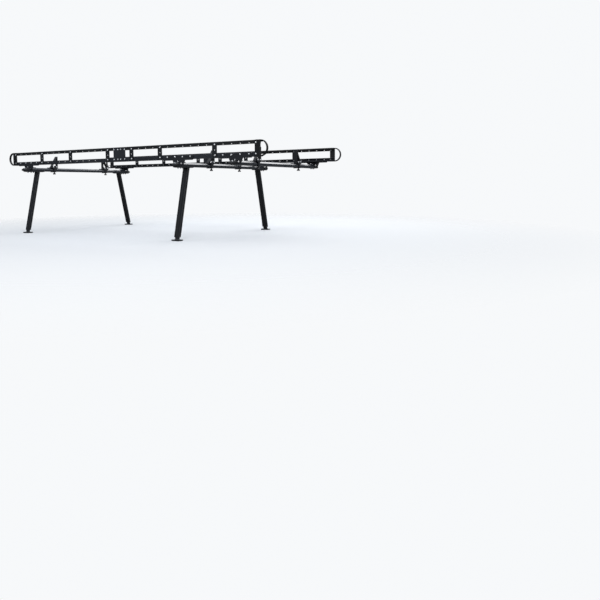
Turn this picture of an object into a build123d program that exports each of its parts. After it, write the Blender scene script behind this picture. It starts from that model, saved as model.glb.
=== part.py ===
"""Over-cab ladder rack for a pickup: two bolted side rails on three crossbars, four leaning legs that stand on the
bed rails, and six clamp-on ladder stops.

Millimetres. +X is forward, +Y is left, +Z is up. The origin is on the centreline, midway along the side rails, at the
underside of the foot pads."""

import math
import os

from build123d import *

os.makedirs("parts", exist_ok=True)

# ---------------------------------------------------------------------------------------- driving dimensions

# side rails
RAIL_FACE = 718  # outer face of the rail webs, out from the centreline
RAIL_DEPTH = 34  # how far the bars reach inboard of that face
RAIL_BOTTOM = 750
RAIL_TOP = 892
RAIL_HALF = 1654  # end of the bars, out from the middle of the rail
WALL = 3
HOLE_PITCH = 91.5
FIRST_HOLE = 72  # first hole of the pitch row, out from the middle of the rail
PITCH_HOLES = 17
SPLICE_HOLE = 19
LOWER_ROW = 773  # height of the lower bar's hole row
UPPER_ROW = 868  # height of the upper bar's hole row
LOWER_BAR_HEIGHT = 38
UPPER_TUBE_HEIGHT = 17
FLANGE_BOTTOM = 859

# uprights of the side rails
POST_WIDTH = 50
POST_TOP = 882
POST_BOTTOM = 759
POST_HOLES = (-12, -7, -1, 1, 5, 12)  # which pitch hole each window post stands on, counted from the middle
END_POST_WIDTH = 54
END_POST_DEPTH = 14
END_BOLT = 1610
LOOP_WIDTH = 22
LOOP_THICK = 10
LOOP_REACH = 72

# crossbars
FRONT_HOLE = 13  # first of the four pitch holes that the front and rear brackets use
MIDDLE_HOLE = 6
BAR_WIDTH = 70
BAR_BOTTOM = 683
BAR_TOP = 721
BAR_BEVEL_ACROSS = 12
BAR_BEVEL_DOWN = 14
BAR_HALF = 752
CAP_LENGTH = 48

# rail brackets
BRACKET_THICK = 6
BRACKET_HALF = 171
BRACKET_BOLTS = (666, 697, 735)  # vertical bolts through the crossbar, out from the centreline

# legs
LEG_WIDTH = 60
LEG_DEPTH = 28
LEG_TOP_Y = 615
LEG_TOP_Z = 675
LEG_FOOT_Y = 769
PAD_THICK = 4
FOOT_PLATE = 8
FOOT_HALF = 47
FOOT_DEPTH = 60
FOOT_HOLE = 33
FOOT_GAP = 22  # bare length of stem between the foot plate and the leg
HEAD_PLATE = 8
HEAD_INNER = 540
HEAD_OUTER = 773
CELL_WIDTH = 48
CELL_DEPTH = 14
STEM_FIT = 0.4  # clearance between a stem and the walls of the leg's cell
STEM_REACH = 62  # how far a stem goes into the leg

# ladder stops
STOP_HALF = 45
STOP_TOP = 856
STOP_STRAP = 34
SLIDE_GAP = 0.5
UPSTAND_THICK = 8
HOOK_THICK = 6
STOP_BOLT_HALF = 22
STOP_BOLT_Z = 737
KNOB_X = 26
KNOB_BOTTOM = 651
KNOB_RADIUS = 17
SCREW_RADIUS = 4
SCREW_CLEARANCE = 0.06
STOP_PLACES = {
    ("rear", "right"): 406,
    ("rear", "left"): 368,
    ("middle", "right"): 265,
    ("middle", "left"): 220,
    ("front", "right"): 411,
    ("front", "left"): 348,
}

# fasteners
BOLT_RADIUS = 4
TAPPED_RADIUS = 4.06
HOLE_RADIUS = 4.5
HEAD_RADIUS = 7.5
HEAD_HEIGHT = 5
NUT_HEIGHT = 6.5

# places worked out from the sizes above
SIDES = ("right", "left")
LOWER_BAR_TOP = RAIL_BOTTOM + LOWER_BAR_HEIGHT
UPPER_TUBE_BOTTOM = RAIL_TOP - UPPER_TUBE_HEIGHT


def pitch_x(number):
    """Where the numbered pitch hole is along the rail; numbers below zero are behind the middle."""
    if number > 0:
        return FIRST_HOLE + HOLE_PITCH * number
    return -FIRST_HOLE + HOLE_PITCH * number


def bracket_x(first_hole):
    return pitch_x(first_hole) + 1.5 * HOLE_PITCH


CROSSBARS = {
    "rear": -bracket_x(FRONT_HOLE),
    "middle": bracket_x(MIDDLE_HOLE),
    "front": bracket_x(FRONT_HOLE),
}
LEGGED = ("rear", "middle")
LEAN = (LEG_FOOT_Y - LEG_TOP_Y) / (LEG_TOP_Z - PAD_THICK - FOOT_PLATE)
LEG_BOTTOM = PAD_THICK + FOOT_PLATE + FOOT_GAP


# ------------------------------------------------------------------------------------------------- helpers


def along_x(profile, start, length):
    """Extrude a (Y, Z) profile forward from x = start."""
    return extrude(Plane.YZ.offset(start) * profile, amount=length, dir=(1, 0, 0))


def along_y(profile, start, length):
    """Extrude an (X, Z) profile to the left from y = start."""
    return extrude(Plane.XZ.offset(-start) * profile, amount=length, dir=(0, 1, 0))


def along_z(profile, start, length):
    """Extrude an (X, Y) profile up from z = start."""
    return extrude(Plane.XY.offset(start) * profile, amount=length, dir=(0, 0, 1))


def outline(*points):
    return Polygon(*points, align=None)


def block(low, high):
    """A box between two corners."""
    size = [b - a for a, b in zip(low, high)]
    return Pos(*low) * Box(*size, align=(Align.MIN, Align.MIN, Align.MIN))


def drill_y(x, z, radius, start, length):
    """A round hole's tool along Y, from y = start."""
    return along_y(Pos(x, z) * Circle(radius), start, length)


def on_side(shape, side):
    """Parts are drawn on the left; the right side is their mirror image."""
    return shape if side == "left" else mirror(shape, about=Plane.XZ)


def save(name, *solids):
    """Write one sub-part, as one solid or as a group of separate solids."""
    shape = solids[0] if len(solids) == 1 else Compound(children=list(solids))
    shape.label = name
    export_step(shape, f"parts/{name}.step")


def screw_y(length):
    """A domed screw: the head's seat is at y = 0, and the head is outboard."""
    head = Pos(0, HEAD_HEIGHT / 2, 0) * Rot(90, 0, 0) * Cylinder(HEAD_RADIUS, HEAD_HEIGHT)
    head = fillet(head.edges().group_by(Axis.Y)[-1], HEAD_HEIGHT * 0.6)
    return head + Pos(0, -length / 2, 0) * Rot(90, 0, 0) * Cylinder(BOLT_RADIUS, length)


def bolt_y(grip):
    """A domed screw through a grip, with its nut at y = -grip."""
    nut = along_y(RegularPolygon(HEAD_RADIUS, 6), -grip - NUT_HEIGHT, NUT_HEIGHT)
    return screw_y(grip + NUT_HEIGHT + 3) + nut


def hole_columns():
    """Every hole place along one half of a rail bar."""
    return [SPLICE_HOLE] + [FIRST_HOLE + HOLE_PITCH * k for k in range(PITCH_HOLES)] + [END_BOLT]


# --------------------------------------------------------------------------------------------- side rails


def two_halves(profile, row_z):
    """A bar's front and rear lengths, which butt under the splice plate, with their holes drilled."""
    gap = 0.5
    front = along_x(profile, gap, RAIL_HALF - gap)
    front -= [drill_y(x, row_z, HOLE_RADIUS, RAIL_FACE - 2 * WALL, 4 * WALL) for x in hole_columns()]
    return front, mirror(front, about=Plane.YZ)


def upper_bar():
    """A rounded tube with a bolting flange under its outer face."""
    tube_middle = (UPPER_TUBE_BOTTOM + RAIL_TOP) / 2
    centre = RAIL_FACE - RAIL_DEPTH / 2
    tube = Pos(centre, tube_middle) * RectangleRounded(RAIL_DEPTH, UPPER_TUBE_HEIGHT, 4)
    hollow = Pos(centre, tube_middle) * Rectangle(RAIL_DEPTH - 2 * WALL, UPPER_TUBE_HEIGHT - 2 * WALL)
    flange_height = tube_middle - FLANGE_BOTTOM
    flange = Pos(RAIL_FACE - WALL / 2, FLANGE_BOTTOM + flange_height / 2) * Rectangle(WALL, flange_height)
    return two_halves(tube + flange - hollow, UPPER_ROW)


def lower_bar():
    """A channel with its web outboard and its mouth inboard."""
    middle = (RAIL_BOTTOM + LOWER_BAR_TOP) / 2
    outer = Pos(RAIL_FACE - RAIL_DEPTH / 2, middle) * RectangleRounded(RAIL_DEPTH, LOWER_BAR_HEIGHT, 2.5)
    mouth = Pos(RAIL_FACE - RAIL_DEPTH / 2 - WALL, middle) * Rectangle(RAIL_DEPTH, LOWER_BAR_HEIGHT - 2 * WALL)
    return two_halves(outer - mouth, LOWER_ROW)


def splice_plate():
    """The plate that joins the two halves of a rail."""
    half, low, high = 80, POST_BOTTOM - 2, POST_TOP + 3
    face = Pos(0, (low + high) / 2) * RectangleRounded(2 * half, high - low, 5)
    plate = along_y(face, RAIL_FACE, 5)
    for x in (-FIRST_HOLE, -SPLICE_HOLE, SPLICE_HOLE, FIRST_HOLE):
        plate -= [drill_y(x, z, HOLE_RADIUS, RAIL_FACE - 1, 8) for z in (LOWER_ROW, UPPER_ROW)]
    return plate


def window_post(x):
    """A flat post with a raised lip along each edge and a spare hole at mid height."""
    thick, lip, rise = 4, 5, 3
    height = POST_TOP - POST_BOTTOM
    middle = (POST_TOP + POST_BOTTOM) / 2
    post = along_y(Pos(x, middle) * RectangleRounded(POST_WIDTH, height, 2), RAIL_FACE, thick)
    for edge in (-1, 1):
        strip = Pos(x + edge * (POST_WIDTH - lip) / 2, middle) * Rectangle(lip, height - 8)
        post += along_y(strip, RAIL_FACE + thick, rise)
    post -= [drill_y(x, z, HOLE_RADIUS, RAIL_FACE - 1, 12) for z in (LOWER_ROW, middle, UPPER_ROW)]
    return post


def end_post():
    """The grooved upright at the front end of a rail."""
    x = RAIL_HALF - END_POST_WIDTH / 2
    y = RAIL_FACE + END_POST_DEPTH / 2
    profile = Pos(x, y) * RectangleRounded(END_POST_WIDTH, END_POST_DEPTH, 2.5)
    groove = 4
    outer = RAIL_FACE + END_POST_DEPTH - groove / 2
    profile -= Pos(END_BOLT, outer) * Rectangle(16, groove)
    profile -= Pos(RAIL_HALF - 18, outer) * Rectangle(9, groove)
    post = along_z(profile, RAIL_BOTTOM, RAIL_TOP - RAIL_BOTTOM)
    return post - [drill_y(END_BOLT, z, HOLE_RADIUS, RAIL_FACE - 1, 20) for z in (LOWER_ROW, UPPER_ROW)]


def end_loop():
    """The flat bar, bent into a U, that closes the front end of a rail and takes tie-downs."""
    middle = (RAIL_TOP + RAIL_BOTTOM) / 2
    radius = (RAIL_TOP - RAIL_BOTTOM) / 2
    turn = RAIL_HALF + LOOP_REACH - radius
    bend = Pos(turn, middle) * (Circle(radius) - Circle(radius - LOOP_THICK))
    bend &= Pos(turn + radius, middle) * Rectangle(2 * radius, 3 * radius)
    straights = Pos((RAIL_HALF + turn) / 2, middle) * Rectangle(turn - RAIL_HALF, 2 * radius)
    straights -= Pos((RAIL_HALF + turn) / 2, middle) * Rectangle(turn - RAIL_HALF, 2 * (radius - LOOP_THICK))
    return along_y(bend + straights, RAIL_FACE + END_POST_DEPTH - LOOP_WIDTH, LOOP_WIDTH)


def front_and_rear(shape):
    return [shape, mirror(shape, about=Plane.YZ)]


# ---------------------------------------------------------------------------------- crossbars and brackets


def bar_outline(grow=0):
    """The crossbar's section, bevelled along its top edges; grow moves every face out."""
    half = BAR_WIDTH / 2 + grow
    low = BAR_BOTTOM - grow
    high = BAR_TOP + grow
    shoulder = high - BAR_BEVEL_DOWN
    flat = half - BAR_BEVEL_ACROSS
    right = [(half - 5, low), (half, low + 5), (half, shoulder), (flat, high)]
    left = [(-x, z) for x, z in reversed(right)]
    return outline(*right, *left)


def crossbar(x):
    bar = along_y(bar_outline() - bar_outline(-WALL), -BAR_HALF, 2 * BAR_HALF)
    for y in BRACKET_BOLTS:
        for side in (-1, 1):
            bar -= Pos(0, side * y, (BAR_BOTTOM + BAR_TOP) / 2) * Cylinder(HOLE_RADIUS, 2 * BAR_WIDTH)
    return Pos(x, 0, 0) * bar


def end_cap(x):
    """A moulded tip that narrows outward, with a plug inside the crossbar's end."""
    waist_end = BAR_HALF + CAP_LENGTH * 0.3
    tip_end = BAR_HALF + CAP_LENGTH
    waist = along_y(bar_outline(), BAR_HALF, waist_end - BAR_HALF)
    root = Plane.XZ.offset(-waist_end) * bar_outline()
    tip = Plane.XZ.offset(-tip_end) * (Pos(0, BAR_BOTTOM + 14) * RectangleRounded(42, 16, 5))
    nose = loft([root.faces()[0], tip.faces()[0]])
    plug = block((-19, BAR_HALF - 10, BAR_BOTTOM + 5), (19, BAR_HALF, BAR_TOP - 6))
    return Pos(x, 0, 0) * (waist + nose + plug)


def rail_bracket(x):
    """A plate bolted to the lower bar that straddles the crossbar, on a foot bolted down through it."""
    top, shoulder, bottom = LOWER_BAR_TOP - 2, RAIL_BOTTOM - 8, BAR_BOTTOM + 8
    notch_half, notch_top = BAR_WIDTH / 2 + 1, BAR_TOP + 1
    half = [(BRACKET_HALF - 8, top), (BRACKET_HALF, top - 8), (BRACKET_HALF - 6, shoulder), (74, shoulder)]
    half += [(51, bottom), (notch_half, bottom), (notch_half, notch_top)]
    plate = along_y(outline(*half, *[(-a, b) for a, b in reversed(half)]), RAIL_FACE, BRACKET_THICK)
    holes = [(k - 1.5) * HOLE_PITCH for k in range(4)]
    plate -= [drill_y(a, LOWER_ROW, HOLE_RADIUS, RAIL_FACE - 1, 10) for a in holes]
    foot = block((-22, 645, BAR_TOP), (22, 750, BAR_TOP + BRACKET_THICK))
    for y in BRACKET_BOLTS:
        foot -= Pos(0, y, BAR_TOP) * Cylinder(HOLE_RADIUS, 4 * BRACKET_THICK)
    rib_low, rib_high = BAR_TOP + BRACKET_THICK, RAIL_BOTTOM - 2
    rib = outline((RAIL_FACE - 45, rib_low), (RAIL_FACE, rib_low), (RAIL_FACE, rib_high), (RAIL_FACE - 12, rib_high))
    ribs = along_x(rib, -22, 4) + along_x(rib, 18, 4)
    return Pos(x, 0, 0) * (plate + foot + ribs)


# ---------------------------------------------------------------------------------------------------- legs


def leg_y(z):
    """How far out the leg's middle is at a height."""
    return LEG_TOP_Y + (LEG_TOP_Z - z) * LEAN


def leg_section():
    """A hollow extrusion with two grooves along each broad face."""
    depth = LEG_DEPTH
    section = RectangleRounded(LEG_WIDTH, depth, 3) - Rectangle(CELL_WIDTH, CELL_DEPTH)
    for x in (-14, 14):
        for face in (-1, 1):
            section -= Pos(x, face * (depth / 2 - 1.5)) * Rectangle(9, 3)
    return section


def leaning(section, x, low, high):
    """A section that leans with a leg between two heights, cut level at both."""
    drawn = Plane.XY.offset(low) * Pos(x, leg_y(low)) * section
    direction = (0, leg_y(high) - leg_y(low), high - low)
    return extrude(drawn, amount=math.hypot(*direction), dir=direction)


def stem(x, low, high):
    """The bar inside one end of a leg that its bolts pass through."""
    return leaning(Rectangle(CELL_WIDTH - 2 * STEM_FIT, CELL_DEPTH - 2 * STEM_FIT), x, low, high)


def leg(x):
    return leaning(leg_section(), x, LEG_BOTTOM, LEG_TOP_Z) - leg_bolt_holes(x)


def leg_bolt_heights():
    return (LEG_BOTTOM + 18, LEG_BOTTOM + 44, LEG_TOP_Z - 44, LEG_TOP_Z - 18)


def leg_bolt_holes(x):
    start = x - LEG_WIDTH / 2 - 1
    return [along_x(Pos(leg_y(z), z) * Circle(HOLE_RADIUS), start, LEG_WIDTH + 2) for z in leg_bolt_heights()]


def leg_head(x):
    """A saddle plate bolted under the crossbar, with a stem down into the leg."""
    rim = BAR_BOTTOM - HEAD_PLATE
    wing = outline(
        (HEAD_INNER, BAR_BOTTOM),
        (HEAD_INNER, BAR_BOTTOM - 4),
        (HEAD_INNER + 22, rim),
        (HEAD_OUTER - 22, rim),
        (HEAD_OUTER, BAR_BOTTOM - 4),
        (HEAD_OUTER, BAR_BOTTOM),
    )
    saddle = along_x(wing, x - LEG_WIDTH / 2, LEG_WIDTH)
    head = saddle + stem(x, rim - STEM_REACH, rim) - leg_bolt_holes(x)
    for y in BRACKET_BOLTS:
        head -= Pos(x, y, rim) * Cylinder(HOLE_RADIUS, 4 * HEAD_PLATE)
    return head


def foot_face(x):
    """The plan of the foot plate and its pad, with the two mounting holes."""
    face = Pos(x, LEG_FOOT_Y) * RectangleRounded(2 * FOOT_HALF, FOOT_DEPTH, 8)
    for hole in (-FOOT_HOLE, FOOT_HOLE):
        face -= Pos(x + hole, LEG_FOOT_Y) * Circle(5.5)
    return face


def leg_foot(x):
    """A plate on the bed rail, with a stem up into the leg."""
    top = PAD_THICK + FOOT_PLATE
    plate = along_z(foot_face(x), PAD_THICK, FOOT_PLATE)
    return plate + stem(x, top, LEG_BOTTOM + STEM_REACH) - leg_bolt_holes(x)


# ------------------------------------------------------------------------------------------- ladder stops
# A stop is drawn at x = 0, y = 0 with its ladder side towards -Y, which is inboard on the left.


def stop_frame():
    """An open triangle with an upright ladder face, on a foot that laps over the crossbar."""
    foot_low = BAR_TOP + SLIDE_GAP
    foot_high = foot_low + 9
    front = BAR_WIDTH / 2 + SLIDE_GAP
    foot = block((-front - 5, -STOP_HALF, foot_low), (front, STOP_HALF, foot_high))
    heel = block((-front - 5, -STOP_HALF, BAR_TOP - 21), (-front, STOP_HALF, foot_low))
    upstand = block((front - UPSTAND_THICK, -40, foot_low), (front, 40, STOP_BOLT_Z + 13))
    outer = outline((STOP_HALF, foot_high), (-STOP_HALF, foot_high), (-STOP_HALF, STOP_TOP), (10 - STOP_HALF, STOP_TOP))
    window = outline((31, foot_high + 6), (-37, foot_high + 6), (-37, STOP_TOP - 16))
    frame = foot + heel + upstand + along_x(outer - window, front - STOP_STRAP, STOP_STRAP)
    for y in (-STOP_BOLT_HALF, STOP_BOLT_HALF):
        frame -= along_x(Pos(y, STOP_BOLT_Z) * Circle(TAPPED_RADIUS), front - UPSTAND_THICK, UPSTAND_THICK)
    return frame


def stop_hook():
    """A T-shaped strap down the crossbar's front face, turned under it to carry the clamp screw."""
    front = BAR_WIDTH / 2 + SLIDE_GAP
    high, waist = STOP_BOLT_Z + 11, BAR_TOP - 9
    lip_high = BAR_BOTTOM - SLIDE_GAP
    lip_low = lip_high - HOOK_THICK
    half = [(38, high), (38, waist + 12), (14, waist), (14, lip_low)]
    face = outline(*half, *[(-a, b) for a, b in reversed(half)])
    hook = along_x(face, front, HOOK_THICK)
    hook += block((-24, -14, lip_low), (front, 14, lip_high))
    for y in (-STOP_BOLT_HALF, STOP_BOLT_HALF):
        hook -= along_x(Pos(y, STOP_BOLT_Z) * Circle(HOLE_RADIUS), front - 1, 8)
    return hook - Pos(KNOB_X, 0, lip_low) * Cylinder(SCREW_RADIUS + SCREW_CLEARANCE, 4 * HOOK_THICK)


def stop_bolts():
    """The two screws that hold the hook to the frame's tapped upstand, heads forward."""
    seat = BAR_WIDTH / 2 + SLIDE_GAP + HOOK_THICK
    screw = Rot(0, 0, -90) * screw_y(HOOK_THICK + UPSTAND_THICK)
    return [Pos(seat, y, STOP_BOLT_Z) * screw for y in (-STOP_BOLT_HALF, STOP_BOLT_HALF)]


def stop_knob():
    """A fluted, flared hand knob moulded on the clamp screw."""
    collar = BAR_BOTTOM - SLIDE_GAP - HOOK_THICK - 2
    rim = KNOB_BOTTOM + 5
    bell = make_face(
        Polyline(
            (0, collar),
            (6.5, collar),
            (6.5, collar - 8),
            (KNOB_RADIUS - 3, rim + 1),
            (KNOB_RADIUS, rim - 1),
            (KNOB_RADIUS, KNOB_BOTTOM + 1),
            (KNOB_RADIUS - 2, KNOB_BOTTOM),
            (KNOB_RADIUS - 6, KNOB_BOTTOM + 1),
            (0, KNOB_BOTTOM + 3),
            (0, collar),
        )
    )
    knob = revolve(Plane.XZ * bell, axis=Axis.Z)
    flute = Cylinder(4.5, 40)
    for k in range(3):
        knob -= Rot(0, 0, 120 * k + 60) * Pos(KNOB_RADIUS + 1, 0, KNOB_BOTTOM) * flute
    screw_top = BAR_BOTTOM - 0.3
    screw = Pos(0, 0, (screw_top + collar - 2) / 2) * Cylinder(SCREW_RADIUS, screw_top - collar + 2)
    return Pos(KNOB_X, 0, 0) * (knob + screw)


# ---------------------------------------------------------------------------------------------- fasteners


def rail_bolts():
    """The bolts along one rail: posts, splice plate, end posts and brackets."""
    post_bolt = bolt_y(4 + WALL)
    splice_bolt = bolt_y(5 + WALL)
    end_bolt = bolt_y(END_POST_DEPTH - 4 + WALL)
    bracket_bolt = bolt_y(BRACKET_THICK + WALL)
    rows = (LOWER_ROW, UPPER_ROW)
    bolts = []
    for z in rows:
        bolts += [Pos(pitch_x(number), RAIL_FACE + 4, z) * post_bolt for number in POST_HOLES]
        places = (-FIRST_HOLE, -SPLICE_HOLE, SPLICE_HOLE, FIRST_HOLE)
        bolts += [Pos(x, RAIL_FACE + 5, z) * splice_bolt for x in places]
        bolts += [Pos(x, RAIL_FACE + END_POST_DEPTH - 4, z) * end_bolt for x in (-END_BOLT, END_BOLT)]
    for x in CROSSBARS.values():
        for k in range(4):
            bolts.append(Pos(x + (k - 1.5) * HOLE_PITCH, RAIL_FACE + BRACKET_THICK, LOWER_ROW) * bracket_bolt)
    return bolts


def frame_bolts():
    """The bolts on one side through the crossbars and through the legs' ends."""
    turned_up = Rot(90, 0, 0)
    turned_forward = Rot(0, 0, -90)
    seat = BAR_TOP + BRACKET_THICK
    long_bolt = turned_up * bolt_y(seat - BAR_BOTTOM + HEAD_PLATE)
    short_bolt = turned_up * bolt_y(seat - BAR_BOTTOM)
    leg_bolt = turned_forward * bolt_y(LEG_WIDTH)
    bolts = []
    for name, x in CROSSBARS.items():
        bolt = long_bolt if name in LEGGED else short_bolt
        bolts += [Pos(x, y, seat) * bolt for y in BRACKET_BOLTS]
        if name in LEGGED:
            bolts += [Pos(x + LEG_WIDTH / 2, leg_y(z), z) * leg_bolt for z in leg_bolt_heights()]
    return bolts


# ---------------------------------------------------------------------------------------------- write out


def both_sides(shapes):
    return list(shapes) + [mirror(shape, about=Plane.XZ) for shape in shapes]


def main():
    end_posts = front_and_rear(end_post())
    end_loops = front_and_rear(end_loop())
    window_posts = [window_post(pitch_x(number)) for number in POST_HOLES]
    upper, lower = upper_bar(), lower_bar()
    for side in SIDES:
        groups = {
            "upper_bar": upper,
            "lower_bar": lower,
            "window_posts": window_posts,
            "end_posts": end_posts,
            "end_loops": end_loops,
        }
        for name, shapes in groups.items():
            save(f"{name}_{side}", *[on_side(shape, side) for shape in shapes])
    save("splice_plates", *both_sides([splice_plate()]))

    for place, x in CROSSBARS.items():
        save(f"{place}_crossbar", crossbar(x))
        for side in SIDES:
            save(f"rail_bracket_{place}_{side}", on_side(rail_bracket(x), side))
    save("crossbar_end_caps", *both_sides([end_cap(x) for x in CROSSBARS.values()]))

    for place in LEGGED:
        x = CROSSBARS[place]
        for side in SIDES:
            save(f"leg_{place}_{side}", on_side(leg(x), side))
            save(f"leg_head_{place}_{side}", on_side(leg_head(x), side))
            save(f"leg_foot_{place}_{side}", on_side(leg_foot(x), side))
    save("foot_pads", *both_sides([along_z(foot_face(CROSSBARS[place]), 0, PAD_THICK) for place in LEGGED]))

    frame, hook, bolts, knob = stop_frame(), stop_hook(), stop_bolts(), stop_knob()
    for (place, side), y in STOP_PLACES.items():
        spot = Pos(CROSSBARS[place], y, 0)
        save(f"stop_frame_{place}_{side}", on_side(spot * frame, side))
        save(f"stop_hook_{place}_{side}", on_side(spot * hook, side))
        save(f"stop_bolts_{place}_{side}", *[on_side(spot * bolt, side) for bolt in bolts])
        save(f"stop_knob_{place}_{side}", on_side(spot * knob, side))

    save("rail_bolts", *both_sides(rail_bolts()))
    save("frame_bolts", *both_sides(frame_bolts()))


main()
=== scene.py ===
"""Over-cab ladder rack for a pickup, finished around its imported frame: satin black rails, legs and
crossbars, cast ladder stops, moulded knobs and end caps, and bright zinc-plated fasteners.

Metres; +X forward, +Y left, +Z up."""

import math

import bmesh
import bpy
from mathutils import Matrix, Vector


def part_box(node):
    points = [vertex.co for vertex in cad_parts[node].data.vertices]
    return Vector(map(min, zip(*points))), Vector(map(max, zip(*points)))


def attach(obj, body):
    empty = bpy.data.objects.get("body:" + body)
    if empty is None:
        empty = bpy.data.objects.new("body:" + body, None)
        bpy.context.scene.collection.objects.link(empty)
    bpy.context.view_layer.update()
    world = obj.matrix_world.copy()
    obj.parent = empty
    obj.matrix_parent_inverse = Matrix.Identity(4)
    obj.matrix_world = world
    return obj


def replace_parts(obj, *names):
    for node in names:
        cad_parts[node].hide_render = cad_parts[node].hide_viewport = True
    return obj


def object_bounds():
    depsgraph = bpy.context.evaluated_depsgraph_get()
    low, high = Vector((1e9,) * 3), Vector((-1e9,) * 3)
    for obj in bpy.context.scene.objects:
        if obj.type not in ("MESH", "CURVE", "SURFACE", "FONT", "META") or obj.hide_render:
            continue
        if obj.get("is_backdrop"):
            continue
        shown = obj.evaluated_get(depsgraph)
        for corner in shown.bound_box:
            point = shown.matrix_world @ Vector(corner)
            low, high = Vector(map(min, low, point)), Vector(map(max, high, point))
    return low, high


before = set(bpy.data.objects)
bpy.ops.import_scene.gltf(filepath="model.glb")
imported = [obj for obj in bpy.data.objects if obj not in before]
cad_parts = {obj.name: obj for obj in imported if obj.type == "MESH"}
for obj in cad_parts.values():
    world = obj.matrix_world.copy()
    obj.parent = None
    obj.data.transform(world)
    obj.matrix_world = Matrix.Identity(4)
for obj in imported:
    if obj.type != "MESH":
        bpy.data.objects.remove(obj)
cad_low, cad_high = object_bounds()
CROSSBARS = ("rear", "middle", "front")
LEGGED = ("rear", "middle")
SIDES = ("right", "left")

# ---------------------------------------------------------------------------------------------- studio
# A low camera off the front right corner, and a pale floor that thins out into a pale surround. One broad
# soft light hangs overhead, one fills the near side, and a narrow one behind picks out the top edges.

EYE = (4.372, -4.975, 0.5032)
HEADING, TILT, ROLL = (math.radians(a) for a in (121.234, -4.935, -0.464))
PALE = (0.93, 0.945, 0.96)
FLOOR_RADIUS = 5.0
FLOOR_FADE = (1.2, 4.6)
RACK_MIDDLE = (cad_low + cad_high) / 2
SOFTBOXES = {
    # name: (place, width, length, power)
    "overhead": ((0.3, -0.8, 4.2), 5.0, 3.0, 60),
    "near_side": ((3.6, -5.0, 3.4), 1.6, 1.2, 130),
    "far_side": ((0.6, 3.6, 3.3), 6.0, 2.0, 150),
}


class Wire:
    """A node's output. Sums and products of wires and numbers become Math nodes."""

    def __init__(self, graph, socket):
        self.graph = graph
        self.socket = socket

    def maths(self, operation, *terms):
        return self.graph.node("ShaderNodeMath", {"operation": operation}, dict(enumerate(terms)))

    def __add__(self, other):
        return self.maths("ADD", self, other)

    def __sub__(self, other):
        return self.maths("SUBTRACT", self, other)

    def __rsub__(self, other):
        return self.maths("SUBTRACT", other, self)

    def __mul__(self, other):
        return self.maths("MULTIPLY", self, other)

    def __pow__(self, other):
        return self.maths("POWER", self, other)

    __radd__ = __add__
    __rmul__ = __mul__


class Graph:
    """A node tree, which any kind of node is added to in one way."""

    def __init__(self, tree):
        self.tree = tree

    def node(self, kind, settings=None, inputs=None, output=0):
        made = self.tree.nodes.new(kind)
        for key, value in (settings or {}).items():
            setattr(made, key, value)
        for key, value in (inputs or {}).items():
            self.feed(made, key, value)
        return Wire(self, made.outputs[output])

    def feed(self, node, key, value):
        if isinstance(value, Wire):
            self.tree.links.new(value.socket, node.inputs[key])
        else:
            node.inputs[key].default_value = value

    def blend(self, share, one, other):
        """A colour between two others."""
        return self.node("ShaderNodeMix", {"data_type": "RGBA"}, {0: share, 6: one, 7: other}, output=2)

    def spread(self, value, low, high, to_low=0.0, to_high=1.0):
        """A value's range, stretched to another and clamped there."""
        return self.node("ShaderNodeMapRange", {}, {0: value, 1: low, 2: high, 3: to_low, 4: to_high})

    def clouds(self, place, scale, detail=2.0, roughness=0.5):
        inputs = {"Vector": place, "Scale": scale, "Detail": detail, "Roughness": roughness}
        return self.node("ShaderNodeTexNoise", {}, inputs)


def opaque(red, green, blue):
    return (red, green, blue, 1.0)


def studio_camera():
    camera = bpy.data.objects.new("camera", bpy.data.cameras.new("camera"))
    bpy.context.scene.collection.objects.link(camera)
    turn = Matrix.Rotation(HEADING - math.pi / 2, 4, "Z") @ Matrix.Rotation(math.pi / 2 + TILT, 4, "X")
    camera.matrix_world = Matrix.Translation(EYE) @ turn @ Matrix.Rotation(ROLL, 4, "Z")
    camera.data.lens = 35.6
    camera.data.shift_x = 0.0411
    camera.data.shift_y = -0.1054
    bpy.context.scene.camera = camera


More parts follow.
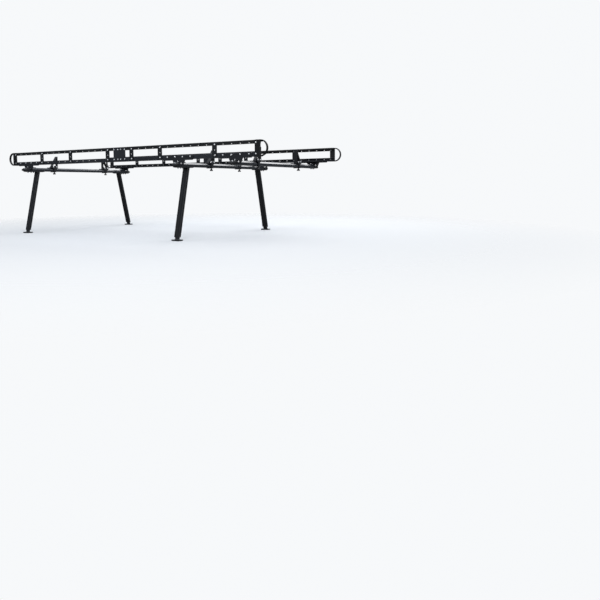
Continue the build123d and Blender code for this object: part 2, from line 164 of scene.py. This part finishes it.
def studio_floor():
    mesh = bpy.data.meshes.new("floor")
    shape = bmesh.new()
    bmesh.ops.create_circle(shape, cap_ends=True, segments=96, radius=FLOOR_RADIUS)
    shape.to_mesh(mesh)
    shape.free()
    floor = bpy.data.objects.new("floor", mesh)
    bpy.context.scene.collection.objects.link(floor)
    material = bpy.data.materials.new("floor_paint")
    material.use_nodes = True
    material.node_tree.nodes.clear()
    graph = Graph(material.node_tree)
    place = graph.node("ShaderNodeTexCoord", output=3)
    from_middle = graph.node("ShaderNodeVectorMath", {"operation": "LENGTH"}, {0: place}, output=1)
    fade = graph.spread(from_middle, *FLOOR_FADE)
    straight = graph.node("ShaderNodeLightPath")
    shade = graph.blend(straight, opaque(0.18, 0.18, 0.18), opaque(0.66, 0.665, 0.67))
    paint = graph.node("ShaderNodeBsdfDiffuse", {}, {"Color": shade})
    clear = graph.node("ShaderNodeBsdfTransparent")
    mixed = graph.node("ShaderNodeMixShader", {}, {0: fade, 1: paint, 2: clear})
    out = material.node_tree.nodes.new("ShaderNodeOutputMaterial")
    graph.feed(out, "Surface", mixed)
    mesh.materials.append(material)
    floor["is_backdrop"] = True


def studio_surround():
    """Pale where it is seen; for light and reflections it is bright overhead and dim at the horizon."""
    world = bpy.data.worlds.new("surround")
    bpy.context.scene.world = world
    world.use_nodes = True
    world.node_tree.nodes.clear()
    graph = Graph(world.node_tree)
    direction = graph.node("ShaderNodeTexCoord", output=0)
    height = graph.node("ShaderNodeSeparateXYZ", {}, {0: direction}, output=2)
    sky = graph.spread(height, -0.05, 0.8)
    dim, bright = opaque(0.10, 0.11, 0.12), opaque(0.75, 0.82, 0.92)
    light = graph.node("ShaderNodeBackground", {}, {"Color": graph.blend(sky, dim, bright)})
    seen = graph.node("ShaderNodeBackground", {}, {"Color": opaque(*PALE)})
    straight = graph.node("ShaderNodeLightPath")
    both = graph.node("ShaderNodeMixShader", {}, {0: straight, 1: light, 2: seen})
    out = world.node_tree.nodes.new("ShaderNodeOutputWorld")
    graph.feed(out, "Surface", both)


def studio_lights():
    for name, (place, width, length, power) in SOFTBOXES.items():
        lamp = bpy.data.lights.new(name, "AREA")
        lamp.shape = "RECTANGLE"
        lamp.size, lamp.size_y, lamp.energy = width, length, power
        box = bpy.data.objects.new(name, lamp)
        bpy.context.scene.collection.objects.link(box)
        box.location = place
        box.rotation_euler = (RACK_MIDDLE - Vector(place)).to_track_quat("-Z", "Y").to_euler()


bpy.context.scene.view_settings.view_transform = "Standard"
studio_camera()
studio_floor()
studio_surround()
studio_lights()


# ------------------------------------------------------------------------------------------- crossbars
# Three closed aluminium extrusions under the rails, coated satin black. The die leaves fine lines along
# them and the coat is a little uneven; what faces up is lighter, partly dust and partly a painted sheen of
# the sky.


class Finish(Graph):
    """A material built on one Principled shader, with the marks that all the rack's finishes share."""

    def __init__(self, name, ior=1.5):
        self.material = bpy.data.materials.new(name)
        self.material.use_nodes = True
        super().__init__(self.material.node_tree)
        self.shader = self.tree.nodes["Principled BSDF"]
        self.shader.inputs["IOR"].default_value = ior
        self.place = self.node("ShaderNodeTexCoord", output=3)

    def set(self, **inputs):
        for key, value in inputs.items():
            self.feed(self.shader, key.replace("_", " "), value)

    def bump(self, height, depth, under=None):
        inputs = {"Height": height, "Distance": depth}
        if under:
            inputs["Normal"] = under
        return self.node("ShaderNodeBump", {}, inputs)

    def stretched(self, scale, turn=(0.0, 0.0, 0.0)):
        """Object coordinates, scaled unevenly so that a pattern runs in lines."""
        return self.node("ShaderNodeMapping", {}, {"Vector": self.place, "Rotation": turn, "Scale": scale})

    def edges(self, radius):
        """One where a corner is, and nothing on flats: partly where the coat is thinnest, partly a painted
        edge highlight.
        """
        rounded = self.node("ShaderNodeBevel", {"samples": 4}, {"Radius": radius})
        true = self.node("ShaderNodeNewGeometry", output=1)
        dot = {"operation": "DOT_PRODUCT"}
        flat = self.node("ShaderNodeVectorMath", dot, {0: rounded, 1: true}, output=1)
        return self.spread(flat, 0.98, 0.75)

    def dust_and_top_sheen(self):
        """More where a surface faces up, in soft patches: partly settled dust, partly a painted sheen of
        the sky on the tops.
        """
        normal = self.node("ShaderNodeNewGeometry", output=1)
        up = self.node("ShaderNodeSeparateXYZ", {}, {0: normal}, output=2)
        patches = self.clouds(self.place, 14.0, 4.0, 0.65)
        return self.spread(up, 0.2, 1.0) * self.spread(patches, 0.35, 0.75)


# Lighter tone for what faces up: dust, and a painted sheen of the sky on the tops.
DUST_AND_SHEEN = opaque(0.16, 0.165, 0.17)


def coated(finish, colour, wear_and_highlight, roughness, peel_scale, peel_depth, under=None):
    """Powder coat: cloudy in tone and gloss, with orange peel. Corners are lighter, partly worn thin and
    partly a painted highlight; tops are lighter, partly dust and partly a painted sheen of the sky.
    """
    cloud = finish.clouds(finish.place, 5.0, 3.0, 0.6)
    deep = opaque(*[c * 0.75 for c in colour])
    light = opaque(*[c * 1.3 for c in colour])
    base = finish.blend(finish.spread(cloud, 0.3, 0.7), deep, light)
    scuffs = finish.spread(finish.clouds(finish.place, 60.0, 4.0, 0.7), 0.42, 0.62)
    # Corners lightened in patches: partly wear, partly a painted edge highlight.
    worn_and_highlit = finish.edges(0.0012) * scuffs
    base = finish.blend(worn_and_highlit * 0.8, base, opaque(*wear_and_highlight))
    # Up-facing surfaces lightened: partly dust, partly a painted sheen of the sky on the tops.
    dust_and_sheen = finish.dust_and_top_sheen()
    base = finish.blend(dust_and_sheen * 0.16, base, DUST_AND_SHEEN)
    peel = finish.clouds(finish.place, peel_scale, 2.0, 0.5)
    gloss = roughness + 0.10 * (cloud - 0.5) + 0.16 * dust_and_sheen - 0.06 * worn_and_highlit
    finish.set(Base_Color=base, Roughness=gloss, Normal=finish.bump(peel, peel_depth, under))
    return finish


def paint(finish, *names):
    for name in names:
        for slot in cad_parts[name].material_slots:
            slot.material = finish.material


def ease(width, *names):
    """Take the sharpness off a part's edges, as deburring and the coat's own thickness do."""
    for name in names:
        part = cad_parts[name]
        part.modifiers.new("weld", "WELD").merge_threshold = 1e-6
        rounding = part.modifiers.new("rounding", "BEVEL")
        rounding.width = width
        rounding.segments = 2
        rounding.limit_method = "ANGLE"
        rounding.angle_limit = math.radians(40)
        rounding.use_clamp_overlap = False
        part.modifiers.new("flats", "WEIGHTED_NORMAL").keep_sharp = False


crossbar_coat = Finish("crossbar_black", 1.8)
die_lines = crossbar_coat.clouds(crossbar_coat.stretched((900.0, 3.0, 900.0)), 1.0, 3.0, 0.6)
ribbed = crossbar_coat.bump(die_lines, 0.00012)
coated(crossbar_coat, (0.010, 0.012, 0.017), (0.10, 0.10, 0.105), 0.26, 1400.0, 0.00002, ribbed)
paint(crossbar_coat, *[f"{place}_crossbar" for place in CROSSBARS])
ease(0.0008, *[f"{place}_crossbar" for place in CROSSBARS])

# ----------------------------------------------------------------------------------- crossbar end caps
# Moulded nylon tips pushed into each crossbar's ends, with a fine spark-eroded grain.

NYLON = (0.007, 0.007, 0.008)


def moulded(name, roughness):
    finish = Finish(name)
    cloud = finish.clouds(finish.place, 9.0, 3.0, 0.6)
    base = finish.blend(cloud, opaque(*[c * 0.8 for c in NYLON]), opaque(*[c * 1.5 for c in NYLON]))
    # Lighter on what faces up and on corners: partly dust and wear, partly a painted sheen and painted
    # edge highlights.
    base = finish.blend(finish.dust_and_top_sheen() * 0.14, base, DUST_AND_SHEEN)
    base = finish.blend(finish.edges(0.001) * 0.25, base, opaque(0.06, 0.06, 0.062))
    grain = finish.clouds(finish.place, 2600.0, 2.0, 0.6)
    gloss = roughness + 0.12 * (cloud - 0.5)
    finish.set(Base_Color=base, Roughness=gloss, Normal=finish.bump(grain, 0.00006))
    return finish


nylon = moulded("moulded_nylon", 0.5)
paint(nylon, "crossbar_end_caps")
ease(0.0012, "crossbar_end_caps")

# -------------------------------------------------------------------------------------- rail brackets
# Pressed steel plates that straddle the crossbars, powder coated satin black with the rails.

plate_coat = coated(
    Finish("plate_black"), (0.012, 0.013, 0.016), (0.11, 0.11, 0.115), 0.42, 900.0, 0.00006
)
paint(plate_coat, *[f"rail_bracket_{place}_{side}" for place in CROSSBARS for side in SIDES])
ease(0.0007, *[f"rail_bracket_{place}_{side}" for place in CROSSBARS for side in SIDES])

# ------------------------------------------------------------------------------------------ side rails
# A rounded tube above and a channel below on each side, in two lengths, coated over the lines of the
# extrusion die: the tube and the end posts deep black, the channel a greyer copy of the same coat, painted
# lighter for the light its face catches.

def rail_coated(name, colour, roughness):
    finish = Finish(name)
    lines = finish.clouds(finish.stretched((3.0, 900.0, 900.0)), 1.0, 3.0, 0.6)
    ribbed = finish.bump(lines, 0.00010)
    return coated(finish, colour, (0.10, 0.10, 0.105), roughness, 1100.0, 0.00003, ribbed)


tube_coat = rail_coated("tube_black", (0.0035, 0.004, 0.005), 0.46)
# The channel's greyer copy of the black coat is painted light, for the light its face catches.
channel_lit_coat = rail_coated("channel_slate", (0.019, 0.021, 0.027), 0.42)
for side in SIDES:
    paint(tube_coat, f"upper_bar_{side}", f"end_posts_{side}")
    paint(channel_lit_coat, f"lower_bar_{side}")
    ease(0.0006, f"end_posts_{side}")

# --------------------------------------------------------------------------- window posts and splices
# Folded steel posts between the two bars, and a plate over the joint of their two lengths.

# The splice plates take a lighter copy of the plate coat: painted light, as on the channel.
lit_splice_coat = coated(
    Finish("plate_slate"), (0.021, 0.023, 0.029), (0.11, 0.11, 0.115), 0.42, 900.0, 0.00006
)
paint(lit_splice_coat, "splice_plates")
paint(plate_coat, *[f"window_posts_{side}" for side in SIDES])
ease(0.0006, "splice_plates", *[f"window_posts_{side}" for side in SIDES])

# ------------------------------------------------------------------------------------------- end loops
# Flat steel bars bent into a U and welded to the end posts, with a duller coat than the plates. Each
# weld is a short row of overlapping beads in the corner between bar and post.

strap_coat = coated(
    Finish("strap_black", 1.35), (0.004, 0.0042, 0.005), (0.08, 0.08, 0.085), 0.55, 700.0, 0.00005
)
paint(strap_coat, *[f"end_loops_{side}" for side in SIDES])
ease(0.0025, *[f"end_loops_{side}" for side in SIDES])
LOOP_THICK = 0.010


def join_paths(name, paths):
    """Polylines as one mesh of loose edges, for a tree to follow."""
    points = [point for path in paths for point in path]
    edges = []
    for path in paths:
        first = sum(len(p) for p in paths[: paths.index(path)])
        edges += [(first + k, first + k + 1) for k in range(len(path) - 1)]
    mesh = bpy.data.meshes.new(name)
    mesh.from_pydata(points, edges, [])
    piece = bpy.data.objects.new(name, mesh)
    bpy.context.scene.collection.objects.link(piece)
    return piece


def new_tree(name, sockets):
    """An empty Geometry Nodes tree, whose inputs are given as name to socket type."""
    tree = bpy.data.node_groups.new(name, "GeometryNodeTree")
    for label, kind in {"Geometry": "NodeSocketGeometry", **sockets}.items():
        tree.interface.new_socket(label, in_out="INPUT", socket_type=kind)
    tree.interface.new_socket("Geometry", in_out="OUTPUT", socket_type="NodeSocketGeometry")
    return Graph(tree), tree.nodes.new("NodeGroupInput")


def close_tree(graph, geometry, material):
    """End a tree in real geometry with its material set."""
    real = graph.node("GeometryNodeRealizeInstances", {}, {0: geometry})
    painted = graph.node("GeometryNodeSetMaterial", {}, {"Geometry": real, "Material": material})
    graph.tree.links.new(painted.socket, graph.tree.nodes.new("NodeGroupOutput").inputs[0])


def grow(piece, graph, body, slot, **values):
    """Run a tree on a piece, keep the result as a plain mesh, and mount it on a body."""
    modifier = piece.modifiers.new("grow", "NODES")
    modifier.node_group = graph.tree
    for item in graph.tree.interface.items_tree:
        label = item.name.replace(" ", "_")
        if item.in_out == "INPUT" and label in values:
            modifier[item.identifier] = values[label]
    evaluated = piece.evaluated_get(bpy.context.evaluated_depsgraph_get())
    mesh = bpy.data.meshes.new_from_object(evaluated)
    piece.modifiers.remove(modifier)
    piece.data = mesh
    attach(piece, body)
    return piece


bead_tree, given = new_tree("weld_beads", {
    "Bead Size": "NodeSocketFloat",
    "Spacing": "NodeSocketFloat",
    "Paint": "NodeSocketMaterial",
})
path, bead_size, spacing, bead_paint = (
    Wire(bead_tree, given.outputs[label]) for label in ("Geometry", "Bead Size", "Spacing", "Paint")
)
curve = bead_tree.node("GeometryNodeMeshToCurve", {}, {0: path})
by_length = {"mode": "LENGTH"}
steps = bead_tree.node("GeometryNodeResampleCurve", by_length, {"Curve": curve, "Length": spacing})
bead = bead_tree.node("GeometryNodeMeshIcoSphere", {}, {"Radius": bead_size, "Subdivisions": 2})
uneven = bead_tree.node(
    "FunctionNodeRandomValue",
    {"data_type": "FLOAT_VECTOR"},
    {0: (0.85, 0.85, 0.85), 1: (1.15, 1.15, 1.1), "Seed": 4},
)
bead_row = {"Points": steps, "Instance": bead, "Scale": uneven}
beads = bead_tree.node("GeometryNodeInstanceOnPoints", {}, bead_row)
close_tree(bead_tree, beads, bead_paint)
BEAD_OVERLAP = 0.9
LOOP_BEAD = 0.0021


def weld(name, paths, size, finish, slot):
    values = {"Bead_Size": size, "Spacing": size * BEAD_OVERLAP, "Paint": finish.material}
    return grow(join_paths(name, paths), bead_tree, "rack", slot, **values)


SEAM_INSET = 0.002
loop_seams = []
for side in SIDES:
    post_low, post_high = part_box(f"end_posts_{side}")
    near, far = post_low.y + SEAM_INSET, post_high.y - SEAM_INSET
    for end in (post_low.x, post_high.x):
        for z in (post_low.z + LOOP_THICK, post_high.z - LOOP_THICK):
            loop_seams.append([(end, near, z), (end, far, z)])
weld("loop_welds", loop_seams, LOOP_BEAD, strap_coat, "strap_black")

# ------------------------------------------------------------------------------------------------ legs
# Grooved aluminium extrusions that lean in from the bed rails. Steel stems inside their ends hold them to
# a saddle under the crossbar and to a foot plate; a bead of weld runs round each stem on its foot plate.

leg_coat = Finish("leg_black")
leg_lines = leg_coat.clouds(leg_coat.stretched((900.0, 900.0, 3.0)), 1.0, 3.0, 0.6)
leg_ribbed = leg_coat.bump(leg_lines, 0.00010)
coated(leg_coat, (0.006, 0.0065, 0.008), (0.10, 0.10, 0.105), 0.42, 1100.0, 0.00003, leg_ribbed)
STEM_HALF_WIDTH, STEM_HALF_DEPTH = 0.0236, 0.0066
FOOT_PLATE = 0.008
FOOT_PLATE_HALF = 0.030
FOOT_BEAD = 0.0024
foot_seams = []
for leg in [f"{place}_{side}" for place in LEGGED for side in SIDES]:
    paint(leg_coat, f"leg_{leg}")
    paint(plate_coat, f"leg_head_{leg}", f"leg_foot_{leg}")
    ease(0.0008, f"leg_head_{leg}", f"leg_foot_{leg}")
    foot_low, foot_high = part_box(f"leg_foot_{leg}")
    x = (foot_low.x + foot_high.x) / 2
    outboard = 1 if foot_low.y > 0 else -1
    plate_middle = (foot_high.y if outboard > 0 else foot_low.y) - outboard * FOOT_PLATE_HALF
    corners = [(-1, -1), (1, -1), (1, 1), (-1, 1), (-1, -1)]
    z = foot_low.z + FOOT_PLATE
    half_x, half_y = STEM_HALF_WIDTH, STEM_HALF_DEPTH
    foot_seams.append([(x + a * half_x, plate_middle + b * half_y, z) for a, b in corners])
weld("foot_welds", foot_seams, FOOT_BEAD, plate_coat, "plate_black")

# ------------------------------------------------------------------------------------------- foot pads
# Black rubber sheet under each foot, matt and slightly pebbled.

rubber = Finish("pad_rubber")
chalk = rubber.clouds(rubber.place, 40.0, 4.0, 0.6)
rubber_pebble = rubber.bump(rubber.clouds(rubber.place, 1200.0, 2.0, 0.6), 0.00012)
rubber_shade = rubber.blend(chalk, opaque(0.014, 0.014, 0.014), opaque(0.035, 0.035, 0.036))
rubber.set(Base_Color=rubber_shade, Roughness=0.75 + 0.15 * chalk, Normal=rubber_pebble)
paint(rubber, "foot_pads")

# -------------------------------------------------------------------------------------- ladder stops
# Two to a crossbar: a cast frame with an upright ladder face, which slides on the bar and has a coarser
# coat, and a pressed hook screwed to it that reaches under the bar.

cast_coat = coated(
    Finish("cast_black"), (0.008, 0.008, 0.010), (0.09, 0.09, 0.095), 0.44, 520.0, 0.00016
)
STOPS = [f"{place}_{side}" for place in CROSSBARS for side in SIDES]
for stop in STOPS:
    paint(cast_coat, f"stop_frame_{stop}")
    paint(plate_coat, f"stop_hook_{stop}")
    ease(0.0012, f"stop_frame_{stop}")
    ease(0.0007, f"stop_hook_{stop}")

# ------------------------------------------------------------------------------------------ clamp knobs
# A three-lobed, flared nylon knob moulded on a zinc-plated screw, which clamps the stop from below. The
# screw's thread is lofted with the knob and takes the nylon finish too.

knob_nylon = moulded("knob_nylon", 0.42)
LOBES = 3
KNOB_RINGS = [
    # (radius, height above the underside, share of the radius that the lobes take), in millimetres
    (5.0, 3.6, 0.0), (8.0, 2.6, 0.02), (11.5, 0.9, 0.07), (14.6, 0.0, 0.10), (16.2, 0.9, 0.12),
    (16.9, 2.6, 0.13), (16.8, 5.0, 0.13), (15.9, 7.2, 0.12), (14.3, 9.6, 0.11), (12.3, 12.2, 0.09),
    (10.3, 15.0, 0.06), (8.6, 18.0, 0.02), (7.6, 20.4, 0.0), (7.4, 22.9, 0.0),
    (6.9, 23.4, 0.0), (4.0, 23.4, 0.0),
]
MILLIMETRE = 0.001
THREAD_PITCH = 1.25
THREAD_ROOT, THREAD_CREST = 3.5, 3.95
SCREW_TOP = 31.6


def turned(name, rings, finish, sides=24):
    """A closed mesh lofted through rings, each a function from angle to radius, with its height."""
    shape = bmesh.new()
    loops = []
    for radius_at, height in rings:
        angles = [2 * math.pi * k / sides for k in range(sides)]
        points = [(radius_at(a) * math.cos(a), radius_at(a) * math.sin(a), height) for a in angles]
        loops.append([shape.verts.new(point) for point in points])
    for lower, upper in zip(loops, loops[1:]):
        for k in range(sides):
            shape.faces.new((lower[k - 1], lower[k], upper[k], upper[k - 1]))
    shape.faces.new(loops[0][::-1])
    shape.faces.new(loops[-1])
    mesh = bpy.data.meshes.new(name)
    shape.to_mesh(mesh)
    shape.free()
    mesh.shade_smooth()
    mesh.set_sharp_from_angle(angle=math.radians(38))
    mesh.materials.append(finish.material)
    piece = bpy.data.objects.new(name, mesh)
    bpy.context.scene.collection.objects.link(piece)
    return piece


def lobed(radius, share):
    """A radius that dips between the lobes."""
    def radius_at(angle):
        dip = 0.5 + 0.5 * math.cos(LOBES * (angle - math.pi / 3))
        return MILLIMETRE * radius * (1 - share * dip)
    return radius_at


def round_ring(radius, height):
    return (lobed(radius, 0), MILLIMETRE * height)


def thread(start, end):
    """The rings of a threaded length, as roots and crests."""
    rings = []
    for k in range(int((end - start) / THREAD_PITCH)):
        foot = start + k * THREAD_PITCH
        rings += [round_ring(THREAD_ROOT, foot), round_ring(THREAD_CREST, foot + THREAD_PITCH / 2)]
    return rings + [round_ring(THREAD_ROOT, end)]


for stop in STOPS:
    low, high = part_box(f"stop_knob_{stop}")
    knob_rings = [(lobed(radius, share), MILLIMETRE * height) for radius, height, share in KNOB_RINGS]
    knob_rings += thread(KNOB_RINGS[-1][1] + 0.3, SCREW_TOP)
    knob = turned(f"clamp_knob_{stop}", knob_rings, knob_nylon, sides=48)
    knob.data.transform(Matrix.Translation(((low.x + high.x) / 2, (low.y + high.y) / 2, low.z)))
    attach(knob, f"knob_{stop}")
    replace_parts(knob, f"stop_knob_{stop}")

# -------------------------------------------------------------------------------------------- fasteners
# Button-head socket screws on plain washers, with chamfered nuts on the inboard side, all bright zinc
# plated. Those through the legs are blackened. Each sits where the frame has its bolt.

zinc = Finish("bright_zinc")
cloudy = zinc.clouds(zinc.place, 220.0, 3.0, 0.6)
zinc_shade = zinc.blend(cloudy, opaque(0.78, 0.79, 0.81), opaque(0.93, 0.93, 0.91))
zinc.set(Base_Color=zinc_shade, Metallic=1.0, Roughness=0.30 + 0.16 * cloudy)
black_oxide = Finish("black_oxide")
oxide_cloud = black_oxide.clouds(black_oxide.place, 180.0, 3.0, 0.6)
oxide_shade = black_oxide.blend(oxide_cloud, opaque(0.02, 0.02, 0.021), opaque(0.05, 0.05, 0.052))
black_oxide.set(Base_Color=oxide_shade, Metallic=0.8, Roughness=0.36 + 0.12 * oxide_cloud)

HEAD_HEIGHT = 0.005
TAIL = 0.0095  # nut and the thread that stands out of it
SHANK_RADIUS = 0.0039


def hex_ring(flat, height):
    """A ring that follows a hexagon, given its distance from centre to flat."""
    def radius_at(angle):
        off_flat = (angle + math.pi / 6) % (math.pi / 3) - math.pi / 6
        return MILLIMETRE * flat / math.cos(off_flat)
    return (radius_at, MILLIMETRE * height)


# Each ring below is a radius or a distance to a flat, and a height, in millimetres.
washer = [round_ring(7.7, 0), round_ring(7.7, 1.0), round_ring(7.4, 1.25), round_ring(6.9, 1.25)]
dome = [(6.9, 2.0), (6.6, 2.9), (5.9, 3.8), (4.9, 4.5), (3.7, 4.95)]
socket = [(2.6, 4.95), (2.5, 4.7), (2.5, 2.6)]
head_rings = washer + [round_ring(*ring) for ring in dome] + [hex_ring(*ring) for ring in socket]
button_head = turned("button_head", head_rings, zinc)
flats = [(6.2, 1.25), (6.5, 1.7), (6.5, 5.2), (6.1, 5.9)]
nut_rings = washer + [hex_ring(*ring) for ring in flats] + [round_ring(4.7, 6.4)]
nut = turned("nut", nut_rings + thread(6.5, 9.4), zinc)

bolt_tree, given = new_tree("fasteners", {
    "Head": "NodeSocketObject",
    "Nut": "NodeSocketObject",
    "Shank Radius": "NodeSocketFloat",
    "Tail": "NodeSocketFloat",
    "Plating": "NodeSocketMaterial",
})
seats, tail = Wire(bolt_tree, given.outputs["Geometry"]), Wire(bolt_tree, given.outputs["Tail"])
aim = bolt_tree.node("GeometryNodeInputNamedAttribute", {"data_type": "FLOAT_VECTOR"}, {"Name": "aim"})
reach = bolt_tree.node("GeometryNodeInputNamedAttribute", {"data_type": "FLOAT"}, {"Name": "reach"})
any_angle = {2: 0.0, 3: 2 * math.pi, "Seed": 11}
spin = bolt_tree.node("FunctionNodeRandomValue", {"data_type": "FLOAT"}, any_angle, output=1)
twist = bolt_tree.node("FunctionNodeAxisAngleToRotation", {}, {"Angle": spin})


def turned_to(direction):
    """A rotation that stands a fastener along a direction, turned by chance about its own axis."""
    upright = bolt_tree.node("FunctionNodeAlignRotationToVector", {"axis": "Z"}, {"Vector": direction})
    about_itself = {"rotation_space": "LOCAL"}
    return bolt_tree.node("FunctionNodeRotateRotation", about_itself, {0: upright, 1: twist})


def shifted(points, distance):
    """The same points, moved back along each bolt."""
    offset = bolt_tree.node("ShaderNodeVectorMath", {"operation": "SCALE"}, {0: aim, "Scale": distance})
    return bolt_tree.node("GeometryNodeSetPosition", {}, {"Geometry": points, "Offset": offset})


def shape_of(label):
    given_object = Wire(bolt_tree, given.outputs[label])
    return bolt_tree.node("GeometryNodeObjectInfo", {}, {"Object": given_object}, output="Geometry")


backward = bolt_tree.node("ShaderNodeVectorMath", {"operation": "SCALE"}, {0: aim, "Scale": -1.0})
grip = reach - tail
shank_radius = Wire(bolt_tree, given.outputs["Shank Radius"])
shank_sizes = {"Vertices": 20, "Depth": 1.0, "Radius": shank_radius}
shank = bolt_tree.node("GeometryNodeMeshCylinder", {}, shank_sizes)
stretch = bolt_tree.node("ShaderNodeCombineXYZ", {}, {"X": 1.0, "Y": 1.0, "Z": grip})
joined = bolt_tree.tree.nodes.new("GeometryNodeJoinGeometry")
for points, one, way, size in (
    (seats, shape_of("Head"), turned_to(aim), (1.0, 1.0, 1.0)),
    (shifted(seats, grip * -1.0), shape_of("Nut"), turned_to(backward), (1.0, 1.0, 1.0)),
    (shifted(seats, grip * -0.5), shank, turned_to(aim), stretch),
):
    placing = {"Points": points, "Instance": one, "Rotation": way, "Scale": size}
    part = bolt_tree.node("GeometryNodeInstanceOnPoints", {}, placing)
    bolt_tree.tree.links.new(part.socket, joined.inputs[0])
close_tree(bolt_tree, Wire(bolt_tree, joined.outputs[0]), Wire(bolt_tree, given.outputs["Plating"]))


def solids_of(name):
    """The boxes of a CAD node's separate solids, in order along the rack."""
    shape = bmesh.new()
    shape.from_mesh(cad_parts[name].data)
    bmesh.ops.remove_doubles(shape, verts=shape.verts, dist=1e-6)
    left = set(shape.verts)
    boxes = []
    while left:
        near, found = [left.pop()], []
        while near:
            vert = near.pop()
            found.append(vert.co.copy())
            for edge in vert.link_edges:
                other = edge.other_vert(vert)
                if other in left:
                    left.remove(other)
                    near.append(other)
        corners = [[pick(point[k] for point in found) for k in range(3)] for pick in (min, max)]
        boxes.append(corners)
    shape.free()
    return sorted([[round(c, 5) for c in corner] for corner in box] for box in boxes)


def bolt_seats(name):
    """Where each head bears, which way it faces (up, forward or outboard) and its shank's reach."""
    found = []
    for low, high in solids_of(name):
        size = [b - a for a, b in zip(low, high)]
        axis = size.index(max(size))
        aim = Vector((0, 0, 0))
        aim[axis] = -1 if axis == 1 and low[1] < 0 else 1
        middle = (Vector(low) + Vector(high)) / 2
        reach = size[axis] - HEAD_HEIGHT
        found.append((middle + aim * (size[axis] / 2 - HEAD_HEIGHT), aim, reach))
    return found


def fasten(name, body, found, plating, nut, tail):
    piece = join_paths(name, [[place] for place, _, _ in found])
    aims = piece.data.attributes.new("aim", "FLOAT_VECTOR", "POINT")
    aims.data.foreach_set("vector", [c for _, aim, _ in found for c in aim])
    reaches = piece.data.attributes.new("reach", "FLOAT", "POINT")
    reaches.data.foreach_set("value", [reach for _, _, reach in found])
    values = {
        "Head": button_head,
        "Shank_Radius": SHANK_RADIUS,
        "Tail": tail,
        "Plating": plating.material,
    }
    if nut:
        values["Nut"] = nut
    return grow(piece, bolt_tree, body, "zinc", **values)


through_bars = [seat for seat in bolt_seats("frame_bolts") if seat[1].z > 0.5]
through_legs = [seat for seat in bolt_seats("frame_bolts") if seat[1].x > 0.5]
rail_set = fasten("rail_screws", "rack", bolt_seats("rail_bolts"), zinc, nut, TAIL)
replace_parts(rail_set, "rail_bolts")
for name, found, plating in (
    ("crossbar_screws", through_bars, zinc),
    ("leg_screws", through_legs, black_oxide),
):
    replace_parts(fasten(name, "rack", found, plating, nut, TAIL), "frame_bolts")
for stop in STOPS:
    found = bolt_seats(f"stop_bolts_{stop}")
    hook_screws = fasten(f"hook_screws_{stop}", f"stop_{stop}", found, zinc, None, 0.0)
    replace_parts(hook_screws, f"stop_bolts_{stop}")

CAP_SCREW_REACH = 0.012
RAY_START = 0.1  # well above the caps
cap_seats = []
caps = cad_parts["crossbar_end_caps"]
_, cap_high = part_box("crossbar_end_caps")
for place in CROSSBARS:
    bar_low, bar_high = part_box(f"{place}_crossbar")
    y = (bar_high.y + cap_high.y) / 2
    for side in (-1, 1):
        above = Vector(((bar_low.x + bar_high.x) / 2, side * y, bar_high.z + RAY_START))
        _, spot, facing, _ = caps.ray_cast(above, Vector((0, 0, -1)))
        cap_seats.append((spot, facing, CAP_SCREW_REACH))
fasten("cap_screws", "rack", cap_seats, zinc, None, 0.0)
for pattern in (button_head, nut):
    bpy.data.objects.remove(pattern)

# ------------------------------------------------------------------------------------------------- size
# The visual model's box, found the same way as the frame's box at the start.

low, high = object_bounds()
